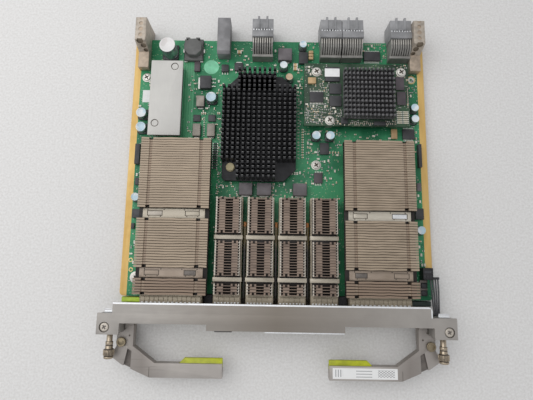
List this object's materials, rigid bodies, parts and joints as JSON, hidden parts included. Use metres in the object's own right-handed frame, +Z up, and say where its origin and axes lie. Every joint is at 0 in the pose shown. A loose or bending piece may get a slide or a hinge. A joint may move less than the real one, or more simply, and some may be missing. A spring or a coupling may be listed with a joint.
{
  "type": "optical line card",
  "caption": "Plug-in optical line card: circuit board with finned module bays, pin heat sinks, rear backplane connectors and a front panel with hinged ejector levers.",
  "frame": {"origin": "on the resting plane, under the middle of the whole outline", "axes": "+X to the right along the front panel, +Y from the front panel to the backplane connectors, +Z up out of the component side"},
  "size_m": [0.24, 0.267, 0.028],
  "materials": {
    "black_heatsink": "black anodised, satin",
    "black_plastic": "moulded black",
    "cage_metal": "thin plated sheet",
    "can_metal": "drawn can on a dark foot",
    "chip_black": "moulded package",
    "circuit_board": "green solder mask, half gloss, gold-bare strips along the side edges",
    "clip_steel": "spring sheet, plain",
    "connector_grey": "moulded grey",
    "core_black": "ferrite and windings",
    "fin_metal": "plain, thin fins",
    "foam_black": "conductive foam",
    "guide_metal": "cast",
    "inductor_grey": "pressed powder",
    "lever_metal": "cast, satin, light grey",
    "light_pipe": "clear moulding, looks amber",
    "panel_metal": "satin, light grey",
    "pin_brass": "bright",
    "plate_metal": "flat plate, satin",
    "screw_steel": "plated, bright",
    "seat_metal": "cast, satin",
    "tab_plastic": "yellow-green, half gloss",
    "thumbscrew_metal": "nickel plated, knurled head",
    "wafer_plastic": "dark wafers",
    "wire_rubber": "black insulation"
  },
  "bodies": {
    "card": {"backplane_housing_1": "connector_grey", "backplane_housing_2": "connector_grey", "backplane_housing_3": "connector_grey", "backplane_housing_4": "connector_grey", "backplane_wafers": "wafer_plastic", "board_packages": "chip_black", "can_capacitors": "can_metal", "front_panel": "panel_metal", "large_module_sockets": "black_plastic", "left_guide_module": "guide_metal", "left_handle_seat": "seat_metal", "left_large_cage": "cage_metal", "left_large_clips": "clip_steel", "lever_pins": "pin_brass", "lever_switch": "black_plastic", "light_pipes": "light_pipe", "line_choke": "black_plastic", "main_board": "circuit_board", "main_chip": "chip_black", "main_heatsink": "black_heatsink", "mezzanine_board": "circuit_board", "mezzanine_chip": "chip_black", "mezzanine_connector": "black_plastic", "mezzanine_heatsink": "black_heatsink", "mezzanine_packages": "chip_black", "mezzanine_standoffs": "screw_steel", "port_foam": "foam_black", "power_connector": "connector_grey", "power_inductors": "inductor_grey", "power_module_board": "circuit_board", "power_module_core": "core_black", "power_module_plate": "plate_metal", "right_guide_module": "guide_metal", "right_handle_seat": "seat_metal", "right_large_cage": "cage_metal", "right_large_clips": "clip_steel", "small_cage_1": "cage_metal", "small_cage_2": "cage_metal", "small_cage_3": "cage_metal", "small_cage_4": "cage_metal", "small_clips": "clip_steel", "small_module_sockets": "black_plastic", "switch_header": "black_plastic", "switch_lead": "wire_rubber"},
    "left_lever": {"left_lever": "lever_metal"},
    "right_lever": {"right_lever": "lever_metal"},
    "left_release_tab": {"left_release_tab": "tab_plastic"},
    "right_release_tab": {"right_release_tab": "tab_plastic"},
    "left_captive_screw": {"left_captive_screw": "thumbscrew_metal"},
    "right_captive_screw": {"right_captive_screw": "thumbscrew_metal"},
    "left_large_heatsink": {"left_large_heatsink": "fin_metal"},
    "right_large_heatsink": {"right_large_heatsink": "fin_metal"},
    "small_heatsink_1": {"small_heatsink_1": "fin_metal"},
    "small_heatsink_2": {"small_heatsink_2": "fin_metal"},
    "small_heatsink_3": {"small_heatsink_3": "fin_metal"},
    "small_heatsink_4": {"small_heatsink_4": "fin_metal"}
  },
  "joints": [
    {"name": "left_lever_swing", "type": "hinge", "parent": "card", "child": "left_lever", "pos_m": [-0.1068, -0.1102, 0.012], "axis": [0, 0, 1], "range_deg": [-72, 0]},
    {"name": "right_lever_swing", "type": "hinge", "parent": "card", "child": "right_lever", "pos_m": [0.1068, -0.1102, 0.012], "axis": [0, 0, 1], "range_deg": [0, 72]},
    {"name": "left_tab_press", "type": "slide", "parent": "left_lever", "child": "left_release_tab", "axis": [0, -1, 0], "range_m": [0, 0.0025], "stiffness_N_per_m": 300, "springref_m": -0.002},
    {"name": "right_tab_press", "type": "slide", "parent": "right_lever", "child": "right_release_tab", "axis": [0, -1, 0], "range_m": [0, 0.0025], "stiffness_N_per_m": 300, "springref_m": -0.002},
    {"name": "left_screw_turn", "type": "hinge", "parent": "card", "child": "left_captive_screw", "pos_m": [-0.1135, -0.11, 0.0198], "axis": [0, 1, 0], "continuous": true},
    {"name": "right_screw_turn", "type": "hinge", "parent": "card", "child": "right_captive_screw", "pos_m": [0.1135, -0.11, 0.0198], "axis": [0, 1, 0], "continuous": true},
    {"name": "left_large_heatsink_lift", "type": "slide", "parent": "card", "child": "left_large_heatsink", "axis": [0, 0, 1], "range_m": [0, 0.0005]},
    {"name": "right_large_heatsink_lift", "type": "slide", "parent": "card", "child": "right_large_heatsink", "axis": [0, 0, 1], "range_m": [0, 0.0005]},
    {"name": "small_heatsink_1_lift", "type": "slide", "parent": "card", "child": "small_heatsink_1", "axis": [0, 0, 1], "range_m": [0, 0.0005]},
    {"name": "small_heatsink_2_lift", "type": "slide", "parent": "card", "child": "small_heatsink_2", "axis": [0, 0, 1], "range_m": [0, 0.0005]},
    {"name": "small_heatsink_3_lift", "type": "slide", "parent": "card", "child": "small_heatsink_3", "axis": [0, 0, 1], "range_m": [0, 0.0005]},
    {"name": "small_heatsink_4_lift", "type": "slide", "parent": "card", "child": "small_heatsink_4", "axis": [0, 0, 1], "range_m": [0, 0.0005]}
  ]
}
